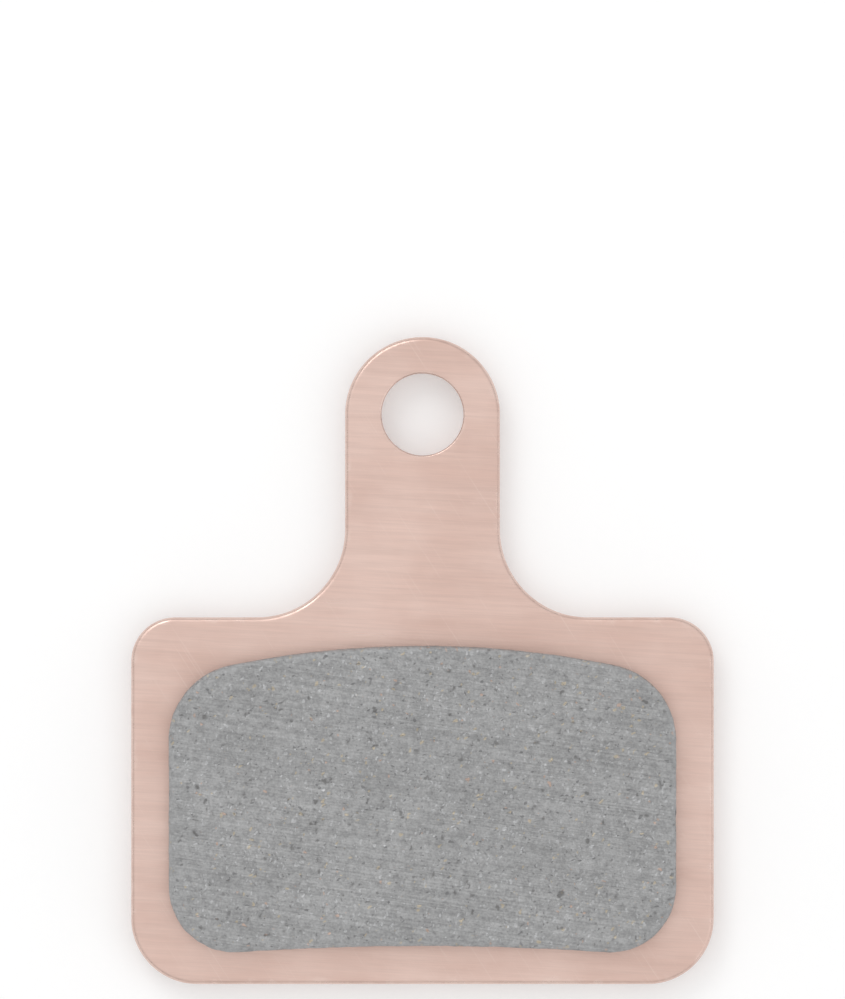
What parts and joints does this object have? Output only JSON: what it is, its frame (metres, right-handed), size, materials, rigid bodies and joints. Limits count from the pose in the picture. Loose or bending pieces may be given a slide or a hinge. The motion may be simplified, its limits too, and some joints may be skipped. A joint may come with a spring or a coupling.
{
  "type": "bicycle disc brake pad",
  "caption": "Flat disc brake pad: a stamped backing plate with a bored axle tab carries a raised block of friction lining that a caliper piston presses against the rotor.",
  "frame": {"origin": "on the axis of the axle bore, level with the back of the plate", "axes": "+X across the pad, +Y from the bore over the tip of the tab, +Z from the back of the plate to the friction face; the pad lies on its back"},
  "size_m": [0.0292, 0.0324, 0.004],
  "materials": {
    "plate": "satin",
    "lining": "matte"
  },
  "bodies": {
    "root": {"backing_plate": "plate", "friction_lining": "lining"}
  },
  "joints": []
}
